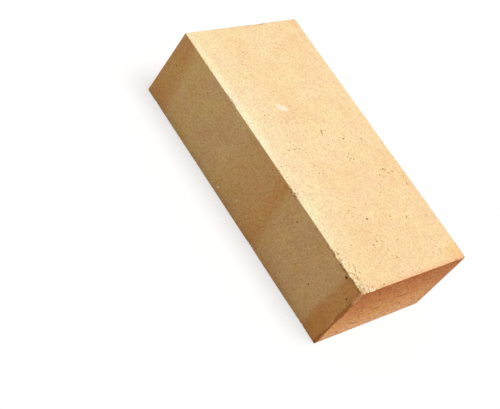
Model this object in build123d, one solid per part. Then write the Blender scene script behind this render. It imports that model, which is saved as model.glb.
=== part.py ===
from build123d import *
import os
from math import cos, radians, sin

# Acid-proof brick: a standard straight, pressed from stoneware clay and fired as one dense piece.
# It lies on its lower bed. X runs along the length, Y across the width and Z up.
# The origin is the middle of the lower bed, and sizes are in millimetres.
LENGTH = 230.0
WIDTH = 115.0
HEIGHT = 63.0

# The pressing die leaves the arrises nearly sharp.
ARRIS_RADIUS = 0.8

# Flakes that handling has knocked out of the arrises around the worn corner, the upper front one at +X.
# Each has its distance from that corner, its length along the arris and its depth below the sharp arris.
# Its lean, in degrees, turns the scar from the bisector of the arris towards the bed, or towards the header.
FRONT_NICK = {"distance": 85.0, "length": 3.6, "depth": 1.0, "lean": 30.0}
FRONT_PIP = {"distance": 39.0, "length": 2.6, "depth": 0.6, "lean": 30.0}
FRONT_SPALL = {"distance": 30.5, "length": 8.0, "depth": 1.3, "lean": 38.0}
FRONT_CHIP = {"distance": 22.5, "length": 5.0, "depth": 0.8, "lean": 38.0}
FRONT_FLAKE = {"distance": 15.5, "length": 7.5, "depth": 1.1, "lean": 38.0}
FRONT_CRUMB = {"distance": 8.0, "length": 6.0, "depth": 1.0, "lean": 35.0}
HEADER_CHIP = {"distance": 10.0, "length": 5.0, "depth": 0.8, "lean": 30.0}
UPRIGHT_CHIP = {"distance": 13.0, "length": 4.0, "depth": 0.8, "lean": 20.0}
UPRIGHT_NICK = {"distance": 29.5, "length": 3.5, "depth": 0.9, "lean": 20.0}

# Two knocked corners: how far each scar reaches along the arrises, and how far it is hollowed below a flat cut.
WORN_CORNER_REACH = 2.6
WORN_CORNER_HOLLOW = 0.2
FAR_CORNER_REACH = 2.0
FAR_CORNER_HOLLOW = 0.15

# Outward directions of the faces that show wear, and the two corners where they meet.
END = Vector(1, 0, 0)
FRONT = Vector(0, -1, 0)
TOP = Vector(0, 0, 1)
FAR_END = -END
BOTTOM = -TOP
WORN_CORNER = Vector(LENGTH / 2, -WIDTH / 2, HEIGHT)
FAR_CORNER = Vector(-LENGTH / 2, -WIDTH / 2, 0)


def arris_flake(edge_face, flat_face, run, distance, length, depth, lean):
    """Ball that bites a shell-shaped scar out of the arris between two faces.

    The arris runs away from the worn corner. The outward line starts on it, turned by the lean from the bisector
    of the two faces towards the flat face. The ball's centre lies on that line, where the ball goes depth below
    the sharp arris and cuts it over the length.
    """
    radius = (length**2 / 4 + depth**2) / (2 * depth)
    turn = radians(45 + lean)
    outward = edge_face * cos(turn) + flat_face * sin(turn)
    centre = WORN_CORNER + run * distance + outward * (radius - depth)
    return Pos(centre) * Sphere(radius)


def corner_chip(corner, faces, reach, hollow):
    """Ball that takes off a corner where three faces meet.

    A flat cut through the three arrises at the reach goes reach / sqrt(3) below the corner. The ball passes
    through the same three points, and its lowest point lies the hollow deeper.
    """
    depth = reach / 3**0.5 + hollow
    offset = (reach**2 - depth**2) / (2 * hollow)
    outward = sum(faces, Vector()).normalized()
    return Pos(corner + outward * offset) * Sphere(offset + depth)


# The brick is one solid: the pressed block with its small rounds, less the flakes and the two corners.
brick = Box(LENGTH, WIDTH, HEIGHT, align=(Align.CENTER, Align.CENTER, Align.MIN))
brick = fillet(brick.edges(), ARRIS_RADIUS)
for flake in (FRONT_NICK, FRONT_PIP, FRONT_SPALL, FRONT_CHIP, FRONT_FLAKE, FRONT_CRUMB):
    brick -= arris_flake(FRONT, TOP, -END, **flake)
brick -= arris_flake(END, TOP, -FRONT, **HEADER_CHIP)
for flake in (UPRIGHT_CHIP, UPRIGHT_NICK):
    brick -= arris_flake(FRONT, END, -TOP, **flake)
brick -= corner_chip(WORN_CORNER, (END, FRONT, TOP), WORN_CORNER_REACH, WORN_CORNER_HOLLOW)
brick -= corner_chip(FAR_CORNER, (FAR_END, FRONT, BOTTOM), FAR_CORNER_REACH, FAR_CORNER_HOLLOW)
brick.label = "brick"

os.makedirs("parts", exist_ok=True)
export_step(brick, "parts/brick.step")
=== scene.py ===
import bpy
import numpy as np
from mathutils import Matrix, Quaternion, Vector


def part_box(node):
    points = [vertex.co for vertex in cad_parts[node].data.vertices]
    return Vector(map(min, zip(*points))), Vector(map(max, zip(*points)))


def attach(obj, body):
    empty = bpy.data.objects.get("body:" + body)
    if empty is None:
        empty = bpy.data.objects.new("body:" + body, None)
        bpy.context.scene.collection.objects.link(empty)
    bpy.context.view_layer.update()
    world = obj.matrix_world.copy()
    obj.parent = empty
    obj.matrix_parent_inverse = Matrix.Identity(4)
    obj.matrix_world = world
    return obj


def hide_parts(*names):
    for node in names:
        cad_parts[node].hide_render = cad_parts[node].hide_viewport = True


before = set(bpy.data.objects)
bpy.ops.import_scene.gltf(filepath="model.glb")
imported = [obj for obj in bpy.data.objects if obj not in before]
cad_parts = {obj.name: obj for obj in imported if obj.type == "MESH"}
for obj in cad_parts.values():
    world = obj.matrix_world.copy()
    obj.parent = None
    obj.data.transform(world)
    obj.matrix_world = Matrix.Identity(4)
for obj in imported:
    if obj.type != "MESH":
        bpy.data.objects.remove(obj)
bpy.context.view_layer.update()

# The brick: one block of buff stoneware clay, pressed in a steel die, dried and fired hard in a close stack.
# Its beds stay pale, the kiln's flame leaves bands on its stretchers and reddens its headers, and handling
# has nibbled its arrises and knocked chips out of one end. Part of the darker colour of its stretchers
# and headers is painted shade. It has no other layers, coats or fixings.
MM = 0.001
low, high = (np.array(corner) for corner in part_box("brick"))
middle = (low + high) / 2
half = (high - low) / 2
ARRIS_RADIUS = 0.8 * MM

# Spacing of the surface's grid lines: close beside the arrises and the chips, wide in the open faces.
ARRIS_SPACING = 0.3 * MM
CHIP_SPACING = 0.45 * MM
FIELD_SPACING = 1.7 * MM
SPACING_GROWTH = 0.18

# The flakes that the solid has lost: distance from the worn corner, length along the arris and depth below
# it in mm, and the scar's lean from the arris's bisector towards the bed, or the header, in degrees. The lost
# corners have their reach along the arrises and their hollow below a flat cut.
END, FRONT, TOP = np.diag((1.0, -1.0, 1.0))
WORN_CORNER = np.array((high[0], low[1], high[2]))
FAR_CORNER = np.array((low[0], low[1], low[2]))
FRONT_FLAKES = ((85, 3.6, 1.0, 30), (39, 2.6, 0.6, 30), (30.5, 8.0, 1.3, 38), (22.5, 5.0, 0.8, 38),
                (15.5, 7.5, 1.1, 38), (8.0, 6.0, 1.0, 35))
HEADER_FLAKES = ((10, 5.0, 0.8, 30),)
UPRIGHT_FLAKES = ((13, 4.0, 0.8, 20), (29.5, 3.5, 0.9, 20))
LOST_CORNERS = ((WORN_CORNER, (END, FRONT, TOP), 2.6, 0.2), (FAR_CORNER, (-END, FRONT, -TOP), 2.0, 0.15))

# Broken clay inside a scar: the height and size of its creases, and the height, size and seed of its lumps.
CREASE_HEIGHT, CREASE_SIZE = 0.5 * MM, 1.4 * MM
SCAR_LUMPS = ((0.6 * MM, 2.2 * MM, 12), (0.5 * MM, 0.9 * MM, 13))


def lumps(points, size, seed):
    """Smooth noise from 0 to 1: random heights on a cubic lattice of this size, blended by 3t^2 - 2t^3."""
    lattice = 96
    heights = np.random.default_rng(seed).random((lattice,) * 3)
    cell, part = np.divmod(points / size, 1)
    blend = part * part * (3 - 2 * part)
    total = np.zeros(len(points))
    for corner in np.ndindex(2, 2, 2):
        at = (cell.astype(int) + corner) % lattice
        share = np.prod(np.where(corner, blend, 1 - blend), axis=1)
        total += share * heights[at[:, 0], at[:, 1], at[:, 2]]
    return total


def smooth_step(value, start, stop):
    """0 below start, 1 above stop and 3t^2 - 2t^3 between them."""
    t = np.clip((value - start) / (stop - start), 0, 1)
    return t * t * (3 - 2 * t)


def grid_lines(start, stop, chips):
    """Places of the grid lines along one axis, from arris to arris.

    Inside each arris round the lines stand at radius * (1 - tan angle), evenly spread over the curve. Between
    the rounds they stand where the integral of 1 / spacing passes equal steps, and the spacing grows with the
    distance from the nearest arris or chip. Chips are (place, length) pairs.
    """
    inset = ARRIS_RADIUS * (1 - np.tan(np.radians((45, 30, 15))))
    place = np.linspace(start + ARRIS_RADIUS, stop - ARRIS_RADIUS, 8001)
    spacing = ARRIS_SPACING + SPACING_GROWTH * np.minimum(place - place[0], place[-1] - place)
    for chip_place, length in chips:
        away = np.maximum(np.abs(place - chip_place) - length / 2, 0)
        spacing = np.minimum(spacing, CHIP_SPACING + SPACING_GROWTH * away)
    density = 1 / np.minimum(spacing, FIELD_SPACING)
    passed = np.concatenate(((0,), np.cumsum((density[1:] + density[:-1]) / 2 * np.diff(place))))
    steps = np.linspace(0, passed[-1], int(np.ceil(passed[-1])) + 1)
    return np.concatenate((start + inset, np.interp(steps, passed, place), (stop - inset)[::-1]))


def block_surface(lines, sheet_gap):
    """Six grids over the faces of the block, joined where they share an arris.

    A grid point P lies on the sharp block. Q is P held inside the block by the arris radius, N is the
    direction from Q to P, and the point moves to Q + radius * N: flat on the faces and round on the arrises.
    Returns points, N, quads and each quad corner's place on a flat sheet where the faces lie side by side.
    """
    long, wide, tall = high - low
    column = (0, wide + sheet_gap, 2 * (wide + sheet_gap), 2 * (wide + sheet_gap) + tall + sheet_gap)
    corners_on_sheet = {(2, 1): (0, column[0]), (2, 0): (0, column[1]), (1, 0): (0, column[2]),
                        (1, 1): (0, column[3]), (0, 1): (long + sheet_gap, column[0]),
                        (0, 0): (long + sheet_gap, column[1])}
    points, quads, sheet = [], [], []
    count = 0
    for axis, side in corners_on_sheet:
        first, second = (other for other in range(3) if other != axis)
        grid = np.empty((len(lines[first]), len(lines[second]), 3))
        grid[..., first], grid[..., second] = np.meshgrid(lines[first], lines[second], indexing="ij")
        grid[..., axis] = (low, high)[side][axis]
        number = np.arange(grid[..., 0].size).reshape(grid.shape[:2])
        ring = np.stack((number[:-1, :-1], number[1:, :-1], number[1:, 1:], number[:-1, 1:]), axis=-1)
        ring = ring.reshape(-1, 4)
        outward = (side == 1) == (axis != 1)
        across, up = (first, second) if axis else (second, first)
        flat = (grid - low)[..., [across, up]] + corners_on_sheet[axis, side]
        points.append(grid.reshape(-1, 3))
        sheet.append(flat.reshape(-1, 2))
        quads.append((ring if outward else ring[:, ::-1]) + count)
        count += number.size
    points, sheet, quads = np.concatenate(points), np.concatenate(sheet), np.concatenate(quads)
    weld = 0.001 * MM
    places = np.round(points / weld).astype(int)
    _, kept, joined = np.unique(places, axis=0, return_index=True, return_inverse=True)
    inner = np.clip(points[kept], low + ARRIS_RADIUS, high - ARRIS_RADIUS)
    normal = points[kept] - inner
    normal /= np.linalg.norm(normal, axis=1, keepdims=True)
    side_length = column[3] + tall
    return inner + ARRIS_RADIUS * normal, normal, joined.reshape(-1)[quads], sheet[quads] / side_length


def knock_chip(points, centre, radius, outward):
    """Pushes the points inside a ball back along its outward line, onto the far side of the ball.

    With q from the ball's centre and s the part of q along the outward line, the step inwards is
    s + sqrt(s^2 - q^2 + radius^2). The radius wanders, and it has creases where |2 noise - 1| is 0, as broken
    clay does.
    """
    rough = radius + CREASE_HEIGHT * (np.abs(2 * lumps(points, CREASE_SIZE, 11) - 1) - 0.5)
    for height, size, seed in SCAR_LUMPS:
        rough += height * (lumps(points, size, seed) - 0.5)
    from_centre = points - centre
    along = from_centre @ outward
    beyond = rough**2 - (from_centre**2).sum(axis=1)
    step = np.where(beyond > 0, along + np.sqrt(np.maximum(along**2 + beyond, 0)), 0)
    return points - step[:, None] * outward


def crumble(points, depth, corner_depth):
    """Pushes points near an arris in along its bisector until they lie the depth below the sharp arris.

    With a and b the distances below two faces, a point lies (a + b) / sqrt 2 below their arris, and with c
    for a third face it lies (a + b + c) / sqrt 3 below their corner, where the corner depth is used instead.
    """
    for axes, wanted in (((0, 1), depth), ((0, 2), depth), ((1, 2), depth), ((0, 1, 2), corner_depth)):
        axes = list(axes)
        away = points[:, axes] - middle[axes]
        below = (half[axes] - np.abs(away)).sum(axis=1) / len(axes) ** 0.5
        push = np.maximum(wanted - below, 0) / len(axes) ** 0.5
        points[:, axes] -= np.sign(away) * push[:, None]
    return points


lines = []
for axis, away, flakes in ((0, -MM, FRONT_FLAKES), (1, MM, HEADER_FLAKES), (2, -MM, UPRIGHT_FLAKES)):
    chips = [(WORN_CORNER[axis] + away * flake[0], MM * flake[1]) for flake in flakes]
    lines.append(grid_lines(low[axis], high[axis], chips))
pressed, normal, quads, sheet = block_surface(lines, sheet_gap=4 * MM)
worn = pressed.copy()
for flakes, edge_face, flat_face, run in ((FRONT_FLAKES, FRONT, TOP, -END), (HEADER_FLAKES, END, TOP, -FRONT),
                                          (UPRIGHT_FLAKES, FRONT, END, -TOP)):
    for distance, length, depth, lean in flakes:
        turn = np.radians(45 + lean)
        outward = np.cos(turn) * edge_face + np.sin(turn) * flat_face
        radius = (length**2 / 4 + depth**2) / (2 * depth)
        centre = WORN_CORNER + MM * (run * distance + outward * (radius - depth))
        worn = knock_chip(worn, centre, radius * MM, outward)
for corner, faces, reach, hollow in LOST_CORNERS:
    depth = reach / 3**0.5 + hollow
    offset = (reach**2 - depth**2) / (2 * hollow)
    outward = sum(faces) / 3**0.5
    worn = knock_chip(worn, corner + MM * offset * outward, (offset + depth) * MM, outward)

flaked = worn

# Handling nibbles every arris a little, in patches, and most of all around the worn corner. Clay that is
# lost to the depth of a full scar shows its broken colour.
WORN_CORNER_SPREAD = 18 * MM
PATCH_SIZE = 17 * MM
LARGE_NIB_SIZE, SMALL_NIB_SIZE = 1.9 * MM, 0.9 * MM
ARRIS_NIBBLE, PATCH_NIBBLE, WORN_NIBBLE = 0.5 * MM, 0.6 * MM, 0.6 * MM
CORNER_NIB_SIZE, CORNER_NIBBLE = 3 * MM, 0.5 * MM
FULL_SCAR = 0.35 * MM

near_worn_corner = np.exp(-np.linalg.norm(pressed - WORN_CORNER, axis=1) / WORN_CORNER_SPREAD)
patches = smooth_step(lumps(pressed, PATCH_SIZE, 21), 0.5, 0.9)
nibs = 0.5 * lumps(pressed, LARGE_NIB_SIZE, 22) + 0.5 * lumps(pressed, SMALL_NIB_SIZE, 23)
nibbled = nibs * (ARRIS_NIBBLE + PATCH_NIBBLE * patches + WORN_NIBBLE * near_worn_corner)
corner_nibbled = nibbled + CORNER_NIBBLE * lumps(pressed, CORNER_NIB_SIZE, 24)
worn = crumble(flaked.copy(), nibbled, corner_nibbled)
scar_and_painted_light = np.clip(np.linalg.norm(flaked - pressed, axis=1) / FULL_SCAR, 0, 1)
rubbed_arris = np.clip(np.linalg.norm(worn - pressed, axis=1) / FULL_SCAR, 0, 1)
scar_and_painted_light = np.maximum(scar_and_painted_light, rubbed_arris * (0.3 + 0.6 * near_worn_corner))

# Beside the worn corner crumbs have broken out too, and their pits are coloured darker, partly for dirt and
# partly as painted shade. A few lie along other arrises and at the lone nick. Each place has its spread from
# the arris, and two have where they set in.
FRONT_SPREAD, FRONT_ONSET = 4.0 * MM, (74 * MM, 92 * MM)
HEADER_SPREAD, HEADER_ONSET = 2.4 * MM, (-26 * MM, -48 * MM)
PATCH_SPREAD, NICK_SPREAD = 1.4 * MM, 2.6 * MM
PIT_SIZE, PIT_DEPTH = 1.5 * MM, 0.7 * MM
CRUMB_SIZE, CRUMB_DEPTH = 1.2 * MM, 0.25 * MM

insets = np.sort(half - np.abs(pressed - middle), axis=1)
below_bed = 3 * (high[2] - pressed[:, 2])
from_front_arris = pressed[:, 1] - low[1] + below_bed
from_header_arris = high[0] - pressed[:, 0] + below_bed
crumbling = np.exp(-from_front_arris / FRONT_SPREAD) * smooth_step(pressed[:, 0], *FRONT_ONSET)
crumbling += np.exp(-from_header_arris / HEADER_SPREAD) * smooth_step(pressed[:, 1], *HEADER_ONSET)
crumbling += 0.8 * patches * np.exp(-insets[:, 1] / PATCH_SPREAD)
lone_nick = WORN_CORNER - END * FRONT_FLAKES[0][0] * MM
crumbling += 1.6 * np.exp(-np.linalg.norm(pressed - lone_nick, axis=1) / NICK_SPREAD)
pit = smooth_step(lumps(pressed, PIT_SIZE, 25) + 0.25 * np.clip(crumbling, 0, 1), 0.80, 0.88)
pit *= smooth_step(crumbling, 0.1, 0.3)
worn -= PIT_DEPTH * pit[:, None] * normal
lost_crumbs = smooth_step(crumbling, 0.15, 0.6) * smooth_step(lumps(pressed, CRUMB_SIZE, 26), 0.4, 0.6)
worn -= CRUMB_DEPTH * lost_crumbs[:, None] * normal
scar_and_painted_light = np.maximum(scar_and_painted_light, 0.8 * lost_crumbs)

# The faces aren't dead flat: a slight warp from firing, the drag of the die and a sandy tooth, all inwards,
# each with its depth, size and seed.
FACE_RELIEF = ((0.16 * MM, 48 * MM, 31), (0.06 * MM, 8 * MM, 32), (0.07 * MM, 2.7 * MM, 33))
relief = sum(depth * lumps(pressed, size, seed) for depth, size, seed in FACE_RELIEF)
worn -= relief[:, None] * normal

# The mesh. A scar shows its pale broken colour mostly where it looks up to the light, which is painted
# light, and edges sharper than the crease angle stay sharp.
CREASE_ANGLE = np.radians(38)
mesh = bpy.data.meshes.new("fired_brick")
mesh.from_pydata(worn, [], quads)
turned = np.empty(worn.size, np.float32)
mesh.vertex_normals.foreach_get("vector", turned)
# Painted light: a scar keeps its pale colour where it faces up, and less of it where it faces sideways.
scar_and_painted_light *= 0.3 + 0.7 * smooth_step(turned.reshape(-1, 3)[:, 2], 0.45, 0.8)
mesh.attributes.new("facing", "FLOAT_VECTOR", "POINT").data.foreach_set("vector", (normal**2).ravel())
mesh.attributes.new("scar_and_painted_light", "FLOAT", "POINT").data.foreach_set("value", scar_and_painted_light)
mesh.attributes.new("crumbled", "FLOAT", "POINT").data.foreach_set("value", np.clip(crumbling, 0, 1))
mesh.attributes.new("pit", "FLOAT", "POINT").data.foreach_set("value", pit)
mesh.uv_layers.new(name="OFBake").data.foreach_set("uv", sheet.ravel())
mesh.shade_smooth()
mesh.set_sharp_from_angle(angle=CREASE_ANGLE)
brick = bpy.data.objects.new("fired_brick", mesh)
bpy.context.scene.collection.objects.link(brick)

# Colours of the fired clay, as the light reflects from it.
BED_CREAM = (0.835, 0.62, 0.345, 1)
BED_PEACH = (0.83, 0.575, 0.305, 1)
BED_PALE = (0.845, 0.755, 0.49, 1)
FLUSH = (0.83, 0.50, 0.20, 1)
# Stretcher and header colours are darker and more saturated than the beds', partly as painted shade.
BUFF_YELLOW = (0.635, 0.40, 0.145, 1)
BUFF_PINK = (0.615, 0.375, 0.168, 1)
RUST = (0.575, 0.283, 0.088, 1)
SINGED = (0.525, 0.228, 0.057, 1)
ROSE = (0.80, 0.44, 0.24, 1)
# The header's top colour is partly painted shade, and its foot colour partly painted light.
HEADER_TOP_RED_SHADED = (0.555, 0.163, 0.030, 1)
HEADER_FOOT_LIT = (0.82, 0.378, 0.123, 1)
HEADER_PALE_AND_LIT = (0.82, 0.46, 0.255, 1)
SCORCH_AND_SHADE = (0.305, 0.084, 0.002, 1)
CINDER = (0.27, 0.06, 0.003, 1)
BROKEN_CLAY = (0.87, 0.69, 0.38, 1)
# Crumb tops: broken clay painted paler still, as a highlight.
CRUMB_LIT = (0.90, 0.77, 0.52, 1)
EMBER = (0.69, 0.335, 0.135, 1)
OCHRE = (0.56, 0.28, 0.045, 1)
RUSSET = (0.59, 0.205, 0.055, 1)
# Dark brown, partly dirt and partly painted shade, for pits, cracks and the strip below the worn arris.
DIRT_AND_SHADE = (0.32, 0.15, 0.02, 1)
IRON = (0.115, 0.028, 0.0, 1)
SPECK = (0.34, 0.15, 0.014, 1)
FLECK = (0.86, 0.64, 0.38, 1)
LIME = (0.93, 0.87, 0.78, 1)

# How much the sandy grain and the soft mottling move each channel, on headers, stretchers and beds. Pale
# grains are greyer than the clay and dark ones browner, so blue moves most, and the mottling moves red least.
# The blush moves green alone, and grog in the headers moves red against blue. No grain is paler than a limit.
GRAIN_SHARES = {"Red": (2.3, 1.37, 0.9), "Green": (4.7, 2.0, 1.25), "Blue": (9.5, 3.6, 1.9)}
MOTTLE_SHARES = {"Red": (2.4, 1.3, 0.35), "Green": (4.0, 2.0, 1.25), "Blue": (5.5, 3.3, 2.0)}
BLUSH_SHARES = (0.5, 0.3, 0.25)
GROG_SHARES = {"Red": 0.32, "Blue": -0.8}
PALEST_TONE, TONE_SOFTNESS = 0.11, 0.08

# The flame's bands along the stretchers: place from the far header in mm, and how much rust the band has.
FLASH_BANDS = ((10, 1.0), (22, 0.0), (84, 0.08), (100, 0.5), (126, 0.65), (136, 1.1), (139, 1.0), (145, 0.4),
               (160, 0.15), (205, 0.25))
SINGED_FROM, SINGED_FULLY = 209, 217
BAND_LEAN = 7
BAND_WANDER, BAND_FRAY = 5, 3

# Corners of the beds that the flame has flushed: end, side, reach in mm and strength.
FLUSHED_CORNERS = ((1, 1, 24, 0.8), (-1, 1, 15, 0.4))
FLUSH_WANDER = 12.0

# Where the tints of a face change, in mm along X or Y from the brick's middle or along Z from the lower bed.
# Each pair is where a change starts and where it is complete, and the wander is how far its edge strays.
# Edges and cores are measured in from the nearest arris instead.
BED_WARMTH = (-30, 70)
PALE_ACROSS, PALE_WANDER = (-12, -52), 9.0
PALE_ONSET, PALE_END = (-105, -35), (45, 120)
STRIP_EDGE, STRIP_CORE, STRIP_WANDER = 14, 6, 7.0
STRIP_FADING = (-22, 6)
STRIP_GAP, GAP_REACH = 15, (16, 8)
ROSE_EDGE, ROSE_CORE, ROSE_WANDER = 2.5, -1.5, 4.0
STRETCHER_PINK = (0, 60)
DARK_BELOW_EDGE, DARK_BELOW_CORE, DARK_BELOW_ONSET = 4, 1.2, (66, 84)
BROWN_FOOT, BROWN_ONSET = (9, 3), (20, 50)
# The header's redder top, paler foot and darker top strip are partly painted shade and painted light.
HEADER_RED_AND_SHADE, HEADER_WANDER = (4, 65), 24.0
LIT_PALE_FOOT, PALE_REAR = (20, 4), (15, 50)
TOP_SHADE_EDGE, TOP_SHADE_CORE = 10, 3

# The scorched upright arris: how far its broken top goes down, how far the scorch reaches from the arris,
# below the break and at it, where that narrows to a waist, and how far the break's redder clay reaches.
BREAK_DEPTH, SCORCH_STEP, EMBER_STEP = 15, 5, 3
SCORCH_REACH, TOP_SCORCH_REACH, SCORCH_WANDER = 3.8, 4.8, 5.0
WAIST_HEIGHT, WAIST_SPAN, WAIST_NARROWING = 22, (10, 4), 1.8
EMBER_REACH = (3.0, 1.8)

# Marks that show most, in mm. Iron spots: along from the far header, across or down the face, and radius.
BED_SPOTS = ((179, 67, 0.82), (113, 37, 0.77), (199, 77, 0.6), (213, 64, 0.6), (35, 83, 0.6),
             (186.5, 29.5, 0.5), (145, 20.5, 0.48), (114, 79, 0.5), (149, 27, 0.5), (201, 53, 0.45),
             (80.5, 94.5, 0.45), (194, 96.5, 0.42), (46.5, 88, 0.45), (129, 81, 0.45), (24.5, 74.5, 0.42),
             (228, 91.2, 0.6))
STRETCHER_SPOTS = ((213.5, 3.8, 1.2), (224, 14.5, 0.9), (161, 12.5, 0.7), (197.5, 35.5, 0.7), (44, 14.5, 0.6),
                   (149, 32, 0.6), (9.5, 25, 0.6), (156, 34, 0.5), (180, 36, 0.5), (117, 33, 0.5),
                   (70, 12.5, 0.5))
# Crowds of small iron specks on the upper bed: along, across and radius.
BED_CROWDS = ((199, 71, 9), (212, 64, 4), (147, 21, 8), (119, 19, 5), (107, 83, 10), (41, 87, 8),
              (180, 69, 4), (220, 18, 5))
# Dark scratches on the upper bed: along, across, half length, half width and turn in degrees.
BED_SCRATCHES = ((103, 53, 2.0, 0.5, -40), (105.2, 53.6, 1.2, 0.4, -40))
# Dark strokes on the upper bed beside the worn arris, painted shade of flake rims and grooves, given
# the same way.
BED_SHADE_STROKES = ((209, 106.6, 1.4, 0.45, -28), (211.4, 106.9, 2.8, 0.45, -35), (214.7, 110.5, 1.4, 0.5, -21),
               (217, 109.7, 1.8, 0.45, -21), (196.9, 112.4, 1.3, 0.7, 36), (145.5, 113.6, 1.0, 0.7, 0),
               (143.1, 111.7, 0.7, 0.5, 45))
# Scuffs on the worn header: across from the front, down, half length and half thickness.
HEADER_SCUFFS = ((71, 31, 10, 0.9), (45, 37, 6, 0.9), (33, 51, 2.5, 0.9), (88, 17, 7, 0.8), (20, 24, 4, 0.8))
# Pale rubs on the upper bed: along, across, half length, half width, turn in degrees and strength.
BED_RUBS = ((77.3, 74, 5.4, 2.7, 57, 0.72), (76.2, 89.7, 1.4, 1.3, 0, 0.5), (229, 103.5, 2.4, 0.9, 90, 0.5),
            (228.3, 107, 1.5, 0.9, 90, 0.4))
# Nicks and a stain on the front stretcher: along, down, half length and half height.
STRETCHER_NICKS = ((97, 57.5, 0.9, 1.6), (115, 49.5, 0.7, 0.9))
OCHRE_STAIN = (220, 50, 7, 5)
# Russet blushes on the front stretcher, given the same way.
RUSSET_BLUSHES = ((222.3, 4.2, 1.9, 1.8), (225, 5.9, 1.9, 1.9), (227.4, 8, 1.5, 2.0),
                  (137.3, 3.3, 2.2, 1.9), (137.2, 15.4, 2.0, 2.0))

# Scattered grains: mean distance apart and radius in mm, and the share of them that shows. The coarse specks'
# radii are for headers, stretchers and beds. Specks grow stronger between two places along X.
FINE_SPECKS = (1.7, 0.42, 0.6)
MIDDLING_SPECKS = (3.3, 0.55, 0.5)
COARSE_CELL, COARSE_RADII, COARSE_SHARE = 7.5, (1.25, 0.75, 0.75), 0.5
PALE_FLECKS = (2.6, 0.5, 0.4)
PORES = (3.0, 0.85, 0.55)
GROG = (3.7, 0.9, 0.5)
PEPPER = (2.4, 0.6, 0.95)
SPECKS_ALONG = (-90, 20)

# The outlines of grains and marks are ragged: by how many mm, and with how many waves a mm.
RAGGED_BY, RAGGED_WAVES = 1.8, 0.9

# The surface: dull and dry, with a fine tooth.
SHINE = 0.3
LEAST_ROUGH, MOST_ROUGH = 0.80, 0.94
TOOTH_STRENGTH, TOOTH_DEPTH = 0.6, 0.3 * MM


def shader_node(tree, kind, inputs=None, **settings):
    """Adds a node with these properties. Inputs maps its sockets to values, or to sockets that feed them."""
    made = tree.nodes.new(kind)
    for name, value in settings.items():
        setattr(made, name, value)
    for socket, value in (inputs or {}).items():
        if isinstance(value, bpy.types.NodeSocket):
            tree.links.new(value, made.inputs[socket])
        else:
            made.inputs[socket].default_value = value
    return made


def calc(tree, operation, *values):
    """Socket with the outcome of one Math node."""
    return shader_node(tree, "ShaderNodeMath", dict(enumerate(values)), operation=operation).outputs[0]


def fade(tree, value, start, stop, low_value=0.0, high_value=1.0):
    """Socket that goes smoothly from low_value at start to high_value at stop."""
    sockets = {"Value": value, "From Min": start, "From Max": stop, "To Min": low_value, "To Max": high_value}
    return shader_node(tree, "ShaderNodeMapRange", sockets, interpolation_type="SMOOTHSTEP").outputs["Result"]


def mixed(tree, share, first, second, blend="MIX"):
    """Socket with two colours mixed by the share of the second."""
    sockets = {0: share, 6: first, 7: second}
    return shader_node(tree, "ShaderNodeMix", sockets, data_type="RGBA", blend_type=blend).outputs[2]


def noise(tree, where, size, detail=2.0, roughness=0.5):
    """Socket with noise from 0 to 1 whose lumps are about size millimetres."""
    sockets = {"Vector": where, "Scale": 1 / size, "Detail": detail, "Roughness": roughness}
    return shader_node(tree, "ShaderNodeTexNoise", sockets).outputs["Fac"]


def centred(tree, pattern):
    """Socket with a noise of 0 to 1 moved to lie about 0."""
    return calc(tree, "SUBTRACT", pattern, 0.5)


def away_from(tree, value, place):
    """Socket with the distance of a coordinate from a place."""
    return calc(tree, "ABSOLUTE", calc(tree, "SUBTRACT", value, place))


def speckle_group():
    """Group that scatters round specks: a mask of where the nearest of many random points is within a radius.

    Cell is the mean distance between the points in millimetres, and Share, from 0 to 1, how many show.
    """
    tree = bpy.data.node_groups.new("speckle", "ShaderNodeTree")
    tree.interface.new_socket("Vector", in_out="INPUT", socket_type="NodeSocketVector")
    for name in ("Cell", "Radius", "Share"):
        tree.interface.new_socket(name, in_out="INPUT", socket_type="NodeSocketFloat")
    tree.interface.new_socket("Mask", in_out="OUTPUT", socket_type="NodeSocketFloat")
    given = shader_node(tree, "NodeGroupInput").outputs
    scale = calc(tree, "DIVIDE", 1.0, given["Cell"])
    cells = shader_node(tree, "ShaderNodeTexVoronoi", {"Vector": given["Vector"], "Scale": scale}).outputs
    luck = shader_node(tree, "ShaderNodeSeparateColor", {"Color": cells["Color"]}).outputs
    distance = calc(tree, "MULTIPLY", cells["Distance"], given["Cell"])
    reach = calc(tree, "MULTIPLY", given["Radius"], calc(tree, "ADD", 0.45, luck["Green"]))
    inside = fade(tree, distance, reach, calc(tree, "MULTIPLY", reach, 0.45))
    shown = calc(tree, "LESS_THAN", luck["Red"], given["Share"])
    shader_node(tree, "NodeGroupOutput", {"Mask": calc(tree, "MULTIPLY", inside, shown)})
    return tree


def mark_group():
    """Group that masks one mark: 1 in the core of an ellipsoid, fading to 0 a little outside it.

    A Mapping node carries the ellipsoid of half axes Size, turned by Turn about Place, onto a unit ball.
    """
    tree = bpy.data.node_groups.new("mark", "ShaderNodeTree")
    for name in ("Vector", "Place", "Turn", "Size"):
        tree.interface.new_socket(name, in_out="INPUT", socket_type="NodeSocketVector")
    tree.interface.new_socket("Mask", in_out="OUTPUT", socket_type="NodeSocketFloat")
    given = shader_node(tree, "NodeGroupInput").outputs
    inputs = {"Vector": given["Vector"], "Location": given["Place"]}
    inputs |= {"Rotation": given["Turn"], "Scale": given["Size"]}
    on_ball = shader_node(tree, "ShaderNodeMapping", inputs, vector_type="TEXTURE").outputs["Vector"]
    distance = shader_node(tree, "ShaderNodeVectorMath", {0: on_ball}, operation="LENGTH").outputs["Value"]
    shader_node(tree, "NodeGroupOutput", {"Mask": fade(tree, distance, 1.3, 0.5)})
    return tree


def masked(tree, shared, inputs):
    """Socket with the mask of a node group placed in this tree with its own values."""
    return shader_node(tree, "ShaderNodeGroup", inputs, node_tree=shared).outputs["Mask"]


def most(tree, sockets):
    """Socket with the largest of many values, 0 or more. Each is joined as soon as it is made."""
    largest = 0.0
    for socket in sockets:
        largest = calc(tree, "MAXIMUM", largest, socket)
    return largest


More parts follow.
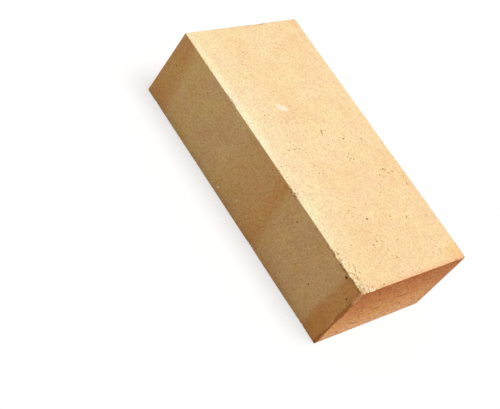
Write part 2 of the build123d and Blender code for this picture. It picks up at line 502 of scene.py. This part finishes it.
def fired_clay():
    """The brick's material: face colours by kiln exposure, partly painted shade, then wear, mottling, grain,
    specks and marks, with painted light and shade on the broken clay.
    """
    material = bpy.data.materials.new("fired_clay")
    material.use_nodes = True
    tree = material.node_tree
    shader = tree.nodes["Principled BSDF"]
    speckle, mark = speckle_group(), mark_group()
    at = shader_node(tree, "ShaderNodeTexCoord").outputs["Object"]
    at = shader_node(tree, "ShaderNodeVectorMath", {0: at, "Scale": 1 / MM}, operation="SCALE").outputs[0]
    x, y, z = shader_node(tree, "ShaderNodeSeparateXYZ", {0: at}).outputs
    facing = shader_node(tree, "ShaderNodeAttribute", attribute_name="facing").outputs["Vector"]
    header, _, bed = shader_node(tree, "ShaderNodeSeparateXYZ", {0: facing}).outputs
    scar_and_painted_light = shader_node(tree, "ShaderNodeAttribute", attribute_name="scar_and_painted_light").outputs["Fac"]
    crumbled = shader_node(tree, "ShaderNodeAttribute", attribute_name="crumbled").outputs["Fac"]
    pit = shader_node(tree, "ShaderNodeAttribute", attribute_name="pit").outputs["Fac"]
    far, near, rear, front, top = (side / MM for side in (low[0], high[0], high[1], low[1], high[2]))

    # Noises from wide drifts to sand, by the size of their lumps in mm.
    wide = noise(tree, at, 42)
    patchy = noise(tree, at, 11, 3)
    crowd = noise(tree, at, 19, 1)
    grit = noise(tree, at, 2.6, 2, 0.6)
    grain = noise(tree, at, 1.2, 3, 0.65)
    sand = noise(tree, at, 0.45, 2, 0.6)

    # Beds: cream, warmer towards the worn end and paler along the front arris, with flushed corners.
    warm = calc(tree, "ADD", fade(tree, x, *BED_WARMTH, 0, 0.55), fade(tree, wide, 0.35, 0.65, -0.1, 0.65))
    bed_colour = mixed(tree, warm, BED_CREAM, BED_PEACH)
    edge_of_pale = calc(tree, "MULTIPLY_ADD", patchy, PALE_WANDER, y)
    along_pale = fade(tree, x, *PALE_ONSET, 0.45, 1.0)
    along_pale = calc(tree, "MINIMUM", along_pale, fade(tree, x, *PALE_END, 1.0, 0.0))
    pale = fade(tree, edge_of_pale, *PALE_ACROSS, 0, 0.4)
    strip = calc(tree, "MULTIPLY_ADD", patchy, STRIP_WANDER, y)
    gap = fade(tree, away_from(tree, x, STRIP_GAP), *GAP_REACH, 0, 0.3)
    palest = calc(tree, "SUBTRACT", fade(tree, x, *STRIP_FADING, 0.75, 0.38), gap)
    strip = fade(tree, strip, front + STRIP_EDGE, front + STRIP_CORE)
    pale = calc(tree, "MULTIPLY_ADD", strip, palest, pale)
    bed_colour = mixed(tree, calc(tree, "MULTIPLY", pale, along_pale), bed_colour, BED_PALE)
    for end, side, reach, strength in FLUSHED_CORNERS:
        corner = {1: (end * near, side * rear, top), 0: at}
        away = shader_node(tree, "ShaderNodeVectorMath", corner, operation="DISTANCE").outputs["Value"]
        away = calc(tree, "MULTIPLY_ADD", centred(tree, patchy), FLUSH_WANDER, away)
        bed_colour = mixed(tree, fade(tree, away, reach, reach / 4, 0, strength), bed_colour, FLUSH)
    rosy = calc(tree, "MULTIPLY_ADD", patchy, ROSE_WANDER, x)
    rosy = fade(tree, rosy, near - ROSE_EDGE, near - ROSE_CORE, 0, 0.7)
    bed_colour = mixed(tree, rosy, bed_colour, ROSE)

    # Stretchers: flash bands across the length, with wandering edges, and a darker strip in patches
    # just below the worn front arris.
    along = calc(tree, "SUBTRACT", x, far)
    along = calc(tree, "MULTIPLY_ADD", centred(tree, wide), BAND_WANDER, along)
    along = calc(tree, "MULTIPLY_ADD", centred(tree, patchy), BAND_FRAY, along)
    foot = calc(tree, "SUBTRACT", 1.0, calc(tree, "DIVIDE", z, top))
    leaned = calc(tree, "MULTIPLY_ADD", foot, -BAND_LEAN, along)
    length = near - far
    bands = shader_node(tree, "ShaderNodeValToRGB", {"Fac": calc(tree, "DIVIDE", leaned, length)})
    stops = bands.color_ramp.elements
    stops.remove(stops[1])
    stops[0].position = 0.0
    for place, rust in FLASH_BANDS:
        stops.new(place / length).color = (rust, rust, rust, 1)
    stops.remove(stops[0])
    hue = fade(tree, noise(tree, at, 17), 0.38, 0.62, -0.35, 0.35)
    hue = calc(tree, "ADD", hue, fade(tree, x, *STRETCHER_PINK, 0.4, 0.75))
    buff = mixed(tree, hue, BUFF_YELLOW, BUFF_PINK)
    rust = calc(tree, "MULTIPLY", bands.outputs["Color"], fade(tree, patchy, 0.36, 0.6, 0.7, 1.15))
    stretcher_colour = mixed(tree, rust, buff, RUST)
    singed = fade(tree, along, SINGED_FROM, SINGED_FULLY)
    singed = calc(tree, "MULTIPLY", singed, fade(tree, foot, 0.2, 0.8, 0.8, 1.0))
    stretcher_colour = mixed(tree, singed, stretcher_colour, SINGED)
    # Darker in patches just below the front arris, towards the worn end.
    darkened_below_arris = fade(tree, z, top - DARK_BELOW_EDGE, top - DARK_BELOW_CORE)
    darkened_below_arris = calc(tree, "MULTIPLY", darkened_below_arris, fade(tree, x, *DARK_BELOW_ONSET))
    darkened_below_arris = calc(tree, "MULTIPLY", darkened_below_arris, fade(tree, noise(tree, at, 5, 2), 0.4, 0.55, 0.1, 0.75))
    stretcher_colour = mixed(tree, darkened_below_arris, stretcher_colour, DIRT_AND_SHADE)
    browned = calc(tree, "MULTIPLY", fade(tree, z, *BROWN_FOOT), fade(tree, x, *BROWN_ONSET, 0, 0.22))
    stretcher_colour = mixed(tree, browned, stretcher_colour, OCHRE)

    # Headers: reddened, most of all at the top, with the drag of the clay across them. Part of the darker
    # top and the paler foot is painted shade and painted light from the floor below.
    height = calc(tree, "MULTIPLY_ADD", centred(tree, patchy), HEADER_WANDER, z)
    header_colour = mixed(tree, fade(tree, height, *HEADER_RED_AND_SHADE), HEADER_FOOT_LIT, HEADER_TOP_RED_SHADED)
    paled_and_lit = calc(tree, "ADD", fade(tree, height, *LIT_PALE_FOOT, 0, 0.5), fade(tree, y, *PALE_REAR, 0, 0.07))
    header_colour = mixed(tree, paled_and_lit, header_colour, HEADER_PALE_AND_LIT)
    # A darker strip below the header's top arris: painted shade.
    shaded_top = fade(tree, z, top - TOP_SHADE_EDGE, top - TOP_SHADE_CORE, 0, 0.2)
    header_colour = mixed(tree, shaded_top, header_colour, SCORCH_AND_SHADE)
    dragged = shader_node(tree, "ShaderNodeMapping", {"Vector": at, "Scale": (1, 0.16, 1)}).outputs["Vector"]
    drag = noise(tree, dragged, 2.2, 2, 0.6)

    # The upright arris at the worn corner is scorched. Its top is broken and shows the clay's redder body.
    flat = shader_node(tree, "ShaderNodeVectorMath", {0: at, 1: (1, 1, 0)}, operation="MULTIPLY").outputs[0]
    arris = {0: flat, 1: (near, front, 0)}
    from_arris = shader_node(tree, "ShaderNodeVectorMath", arris, operation="DISTANCE").outputs["Value"]
    from_arris = calc(tree, "MULTIPLY_ADD", centred(tree, grit), SCORCH_WANDER, from_arris)
    break_foot = top - BREAK_DEPTH
    scorch_reach = fade(tree, z, break_foot, break_foot + SCORCH_STEP, SCORCH_REACH, TOP_SCORCH_REACH)
    narrowed = fade(tree, away_from(tree, z, WAIST_HEIGHT), *WAIST_SPAN, 0, WAIST_NARROWING)
    scorch_reach = calc(tree, "SUBTRACT", scorch_reach, narrowed)
    scorched = fade(tree, from_arris, scorch_reach, calc(tree, "MULTIPLY", scorch_reach, 0.4), 0, 0.9)
    scorched = calc(tree, "MULTIPLY", scorched, fade(tree, grain, 0.38, 0.6, 1.0, 0.6))
    ember = fade(tree, from_arris, *EMBER_REACH)
    ember = calc(tree, "MULTIPLY", ember, fade(tree, z, break_foot, break_foot + EMBER_STEP, 0, 0.85))

    # Each face takes its colour; the stretchers' and headers' darker colours are partly painted shade.
    colour = mixed(tree, fade(tree, header, 0.3, 0.7), stretcher_colour, header_colour)
    colour = mixed(tree, fade(tree, bed, 0.3, 0.7), colour, bed_colour)
    # Pale broken clay where there are scars, fullest where they face up: partly painted light.
    colour = mixed(tree, calc(tree, "MULTIPLY", scar_and_painted_light, 0.75), colour, BROKEN_CLAY)
    colour = mixed(tree, scorched, colour, SCORCH_AND_SHADE)
    colour = mixed(tree, ember, colour, EMBER)

    # Soft mottling, a pinker or greener blush and sandy grain, faintest on the beds, strongest on headers.
    def by_face(shares):
        """Socket with the share for this face, of those for headers, stretchers and beds."""
        node = shader_node(tree, "ShaderNodeVectorMath", {0: facing, 1: shares}, operation="DOT_PRODUCT")
        return node.outputs["Value"]

    tone = 0.0
    for pattern, strength in ((grit, 0.2), (grain, 0.6), (sand, 0.4)):
        tone = calc(tree, "MULTIPLY_ADD", centred(tree, pattern), strength, tone)
    tone = calc(tree, "MULTIPLY_ADD", calc(tree, "MULTIPLY", centred(tree, drag), header), 0.12, tone)
    tone = calc(tree, "SMOOTH_MIN", tone, PALEST_TONE, TONE_SOFTNESS)
    mottle = calc(tree, "MULTIPLY", centred(tree, patchy), 0.16)
    blush = calc(tree, "MULTIPLY", centred(tree, noise(tree, at, 14, 4, 0.6)), by_face(BLUSH_SHARES))
    grog_tint = calc(tree, "MULTIPLY", centred(tree, noise(tree, at, 3, 2)), header)
    shade = {"Green": calc(tree, "ADD", blush, 1.0)}
    for channel, share in GROG_SHARES.items():
        shade[channel] = calc(tree, "MULTIPLY_ADD", grog_tint, share, 1.0)
    for channel in shade:
        shade[channel] = calc(tree, "MULTIPLY_ADD", tone, by_face(GRAIN_SHARES[channel]), shade[channel])
        shade[channel] = calc(tree, "MULTIPLY_ADD", mottle, by_face(MOTTLE_SHARES[channel]), shade[channel])
    shade = shader_node(tree, "ShaderNodeCombineColor", shade).outputs["Color"]
    colour = mixed(tree, 1.0, colour, shade, "MULTIPLY")

    # Specks of iron and pale grog crowd together in places, many small faint ones and a few larger dark ones.
    jitter = {"Vector": at, "Scale": RAGGED_WAVES, "Detail": 2.0}
    jitter = shader_node(tree, "ShaderNodeTexNoise", jitter).outputs["Color"]
    jitter = shader_node(tree, "ShaderNodeVectorMath", {0: jitter, 1: (0.5, 0.5, 0.5)}, operation="SUBTRACT")
    moved = {0: jitter.outputs[0], 1: (RAGGED_BY, RAGGED_BY, RAGGED_BY), 2: at}
    ragged = shader_node(tree, "ShaderNodeVectorMath", moved, operation="MULTIPLY_ADD").outputs[0]

    def scattered(cell, radius, share):
        """Mask of grains scattered on the ragged coordinates."""
        return masked(tree, speckle, {"Vector": ragged, "Cell": cell, "Radius": radius, "Share": share})

    fine = scattered(*FINE_SPECKS)
    middling = scattered(*MIDDLING_SPECKS)
    coarse = scattered(COARSE_CELL, by_face(COARSE_RADII), COARSE_SHARE)
    flecks = scattered(*PALE_FLECKS)
    pores = scattered(*PORES)
    grog = scattered(*GROG)
    crowded = fade(tree, crowd, 0.36, 0.64, 0.35, 1.25)
    crowded = calc(tree, "MULTIPLY", crowded, fade(tree, x, *SPECKS_ALONG, 0.6, 1.0))
    specks = calc(tree, "MAXIMUM", calc(tree, "MULTIPLY", fine, 0.42), calc(tree, "MULTIPLY", middling, 0.75))
    specks = calc(tree, "MULTIPLY", specks, crowded)
    coarse = calc(tree, "MULTIPLY", coarse, crowded)

    def marked(place, size, turn=0.0):
        """Mask of one mark on the ragged coordinates, turned about Z."""
        values = {"Vector": ragged, "Place": place, "Turn": (0, 0, np.radians(turn)), "Size": size}
        return masked(tree, mark, values)

    def on_bed(along, across, long, wide, turn=0.0):
        """Mask of one mark on the upper bed."""
        return marked((far + along, rear - across, top), (long, wide, 3), turn)

    def on_stretcher(along, down, long, tall):
        """Mask of one mark on the front stretcher."""
        return marked((far + along, front, top - down), (long, 3, tall))

    def on_header(across, down, long, tall):
        """Mask of one mark on the worn header."""
        return marked((near, front + across, top - down), (3, long, tall))

    crowds = most(tree, (on_bed(run, across, radius, radius) for run, across, radius in BED_CROWDS))
    pepper = calc(tree, "MULTIPLY", scattered(*PEPPER), calc(tree, "MULTIPLY", crowds, 0.75))
    bed_spots = most(tree, (on_bed(run, across, radius, radius) for run, across, radius in BED_SPOTS))
    side_spots = (on_stretcher(run, down, radius, radius) for run, down, radius in STRETCHER_SPOTS)
    side_spots = most(tree, side_spots)
    burnt = calc(tree, "MULTIPLY", most(tree, (calc(tree, "MULTIPLY", pores, 0.7), coarse)), header)
    coarse = calc(tree, "MULTIPLY", coarse, by_face((0, 0.7, 0.35)))
    scratches = calc(tree, "MULTIPLY", most(tree, (on_bed(*scratch) for scratch in BED_SCRATCHES)), 0.8)
    spotted = most(tree, (bed_spots, side_spots, scratches, pepper, coarse))
    scuffs = most(tree, (on_header(*scuff) for scuff in HEADER_SCUFFS))
    scuffed = calc(tree, "MULTIPLY", scuffs, fade(tree, drag, 0.32, 0.52, 0.3, 0.95))
    nicks = most(tree, (on_stretcher(*nick) for nick in STRETCHER_NICKS))
    rubs = most(tree, (calc(tree, "MULTIPLY", on_bed(*rub[:5]), rub[5]) for rub in BED_RUBS))
    rubbed = calc(tree, "MULTIPLY", rubs, fade(tree, grain, 0.35, 0.6, 0.35, 1.0))
    sheared = {"Vector": at, "Rotation": (0, 0, np.radians(-45)), "Scale": (2.2, 1, 1)}
    sheared = shader_node(tree, "ShaderNodeMapping", sheared, vector_type="TEXTURE").outputs["Vector"]
    # Crumbled clay: crumb tops painted paler as highlight, the gaps and strokes darker as painted shade.
    chaff = noise(tree, sheared, 1.3, 2, 0.6)
    lit_crumbs = calc(tree, "MULTIPLY", fade(tree, chaff, 0.5, 0.6), fade(tree, crumbled, 0.25, 0.6))
    shaded_cracks = calc(tree, "MULTIPLY", fade(tree, chaff, 0.45, 0.34), fade(tree, crumbled, 0.06, 0.25))
    shaded_cracks = calc(tree, "MULTIPLY", shaded_cracks, fade(tree, crumbled, 0.4, 0.9, 1.0, 0.55))
    shade_strokes = most(tree, (on_bed(*stroke) for stroke in BED_SHADE_STROKES))
    shaded_cracks = calc(tree, "MAXIMUM", shaded_cracks, shade_strokes)
    stain = on_stretcher(*OCHRE_STAIN)
    blushes = most(tree, (on_stretcher(*place) for place in RUSSET_BLUSHES))

    colour = mixed(tree, calc(tree, "MULTIPLY", stain, 0.4), colour, OCHRE)
    colour = mixed(tree, calc(tree, "MULTIPLY", blushes, 0.55), colour, RUSSET)
    colour = mixed(tree, calc(tree, "MULTIPLY", flecks, 0.3), colour, FLECK)
    colour = mixed(tree, calc(tree, "MULTIPLY", calc(tree, "MULTIPLY", grog, header), 0.35), colour, FLECK)
    colour = mixed(tree, calc(tree, "MAXIMUM", burnt, scuffed), colour, CINDER)
    colour = mixed(tree, specks, colour, SPECK)
    colour = mixed(tree, spotted, colour, IRON)
    colour = mixed(tree, calc(tree, "MULTIPLY", nicks, 0.8), colour, FLECK)
    colour = mixed(tree, rubbed, colour, LIME)
    colour = mixed(tree, calc(tree, "MULTIPLY", lit_crumbs, bed), colour, CRUMB_LIT)
    # Pits darkened partly for dirt and partly as painted shade, and cracks as painted shade.
    dirt_and_shade = calc(tree, "MAXIMUM", calc(tree, "MULTIPLY", pit, 0.45), calc(tree, "MULTIPLY", shaded_cracks, 0.6))
    colour = mixed(tree, dirt_and_shade, colour, DIRT_AND_SHADE)
    tree.links.new(colour, shader.inputs["Base Color"])

    dull = calc(tree, "MAXIMUM", spotted, scorched)
    rough = calc(tree, "MAXIMUM", fade(tree, grain, 0.3, 0.7, LEAST_ROUGH, MOST_ROUGH), dull)
    tree.links.new(rough, shader.inputs["Roughness"])
    shader.inputs["Specular IOR Level"].default_value = SHINE

    tooth = calc(tree, "MULTIPLY", grain, 0.6)
    tooth = calc(tree, "MULTIPLY_ADD", sand, 0.3, tooth)
    tooth = calc(tree, "MULTIPLY_ADD", calc(tree, "MULTIPLY", drag, header), 0.3, tooth)
    tooth = calc(tree, "SUBTRACT", tooth, calc(tree, "MULTIPLY", specks, 0.6))
    bump = {"Height": tooth, "Strength": TOOTH_STRENGTH, "Distance": TOOTH_DEPTH}
    tree.links.new(shader_node(tree, "ShaderNodeBump", bump).outputs["Normal"], shader.inputs["Normal"])
    return material


mesh.materials.append(fired_clay())
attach(brick, "root")
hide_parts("brick")

# The floor: one plain sheet of white studio paper, laid flat under the brick. It shows as white and keeps the
# brick's soft shadow.
FLOOR_REACH = 6.0
FLOOR_BOUNCE = (0.7, 0.7, 0.7, 1)
PAPER_WHITE = (0.92, 0.92, 0.92, 1)
PAPER_GLOW = 0.6

floor_mesh = bpy.data.meshes.new("floor")
edge = np.array(((-1, -1, 0), (1, -1, 0), (1, 1, 0), (-1, 1, 0))) * FLOOR_REACH
floor_mesh.from_pydata(edge, [], [(0, 1, 2, 3)])
floor = bpy.data.objects.new("floor", floor_mesh)
bpy.context.scene.collection.objects.link(floor)


def seen_directly(tree):
    """Socket that is 1 where the camera sees the surface, straight or by gloss or glass, and 0 elsewhere."""
    path = shader_node(tree, "ShaderNodeLightPath").outputs
    seen = calc(tree, "MAXIMUM", path["Is Camera Ray"], path["Is Glossy Ray"])
    return calc(tree, "MAXIMUM", seen, path["Is Transmission Ray"])


def paper():
    """White paper: diffuse, and part of its white is given off where it is seen, so the shadow stays pale."""
    material = bpy.data.materials.new("paper")
    material.use_nodes = True
    tree = material.node_tree
    tree.nodes.remove(tree.nodes["Principled BSDF"])
    seen = seen_directly(tree)
    white = mixed(tree, seen, FLOOR_BOUNCE, PAPER_WHITE)
    diffuse = shader_node(tree, "ShaderNodeBsdfDiffuse", {"Color": white}).outputs[0]
    glow = shader_node(tree, "ShaderNodeEmission", {"Color": (1, 1, 1, 1), "Strength": 1.0}).outputs[0]
    share = calc(tree, "MULTIPLY", seen, PAPER_GLOW)
    both = shader_node(tree, "ShaderNodeMixShader", {0: share, 1: diffuse, 2: glow}).outputs[0]
    tree.links.new(both, tree.nodes["Material Output"].inputs["Surface"])
    return material


floor_mesh.materials.append(paper())

# The light: a wide soft key from overhead, a little behind the brick, and an even fill all round.
KEY_DIRECTION = Vector((0.18, 0.12, 0.98))
KEY_STRENGTH = 2.35
KEY_SPREAD = np.radians(28)
FILL = 0.42

key_data = bpy.data.lights.new("key", "SUN")
key_data.energy = KEY_STRENGTH
key_data.angle = KEY_SPREAD
key = bpy.data.objects.new("key", key_data)
key.rotation_mode = "QUATERNION"
key.rotation_quaternion = KEY_DIRECTION.to_track_quat("Z", "Y")
bpy.context.scene.collection.objects.link(key)

world = bpy.data.worlds.new("studio")
world.use_nodes = True
bpy.context.scene.world = world
sky = world.node_tree.nodes["Background"]
level = fade(world.node_tree, seen_directly(world.node_tree), 0, 1, FILL, 1.0)
world.node_tree.links.new(level, sky.inputs["Strength"])
sky.inputs["Color"].default_value = (1, 1, 1, 1)
bpy.context.scene.view_settings.view_transform = "Standard"

# The camera: above the front arris at the worn end, rolled to the left.
AIM = Vector((-0.8, -33.7, 0)) * MM
AZIMUTH = np.radians(25.15)
ELEVATION = np.radians(40.93)
ROLL = np.radians(39.43)
DISTANCE = 921.7 * MM
LENS = 91.05
SENSOR_WIDTH = 36

camera_data = bpy.data.cameras.new("camera")
camera_data.sensor_width = SENSOR_WIDTH
camera_data.lens = LENS
camera = bpy.data.objects.new("camera", camera_data)
back = Vector((np.sin(AZIMUTH) * np.cos(ELEVATION), -np.cos(AZIMUTH) * np.cos(ELEVATION), np.sin(ELEVATION)))
camera.location = AIM + back * DISTANCE
camera.rotation_mode = "QUATERNION"
camera.rotation_quaternion = (-back).to_track_quat("-Z", "Y") @ Quaternion((0, 0, 1), ROLL)
bpy.context.scene.collection.objects.link(camera)
bpy.context.scene.camera = camera
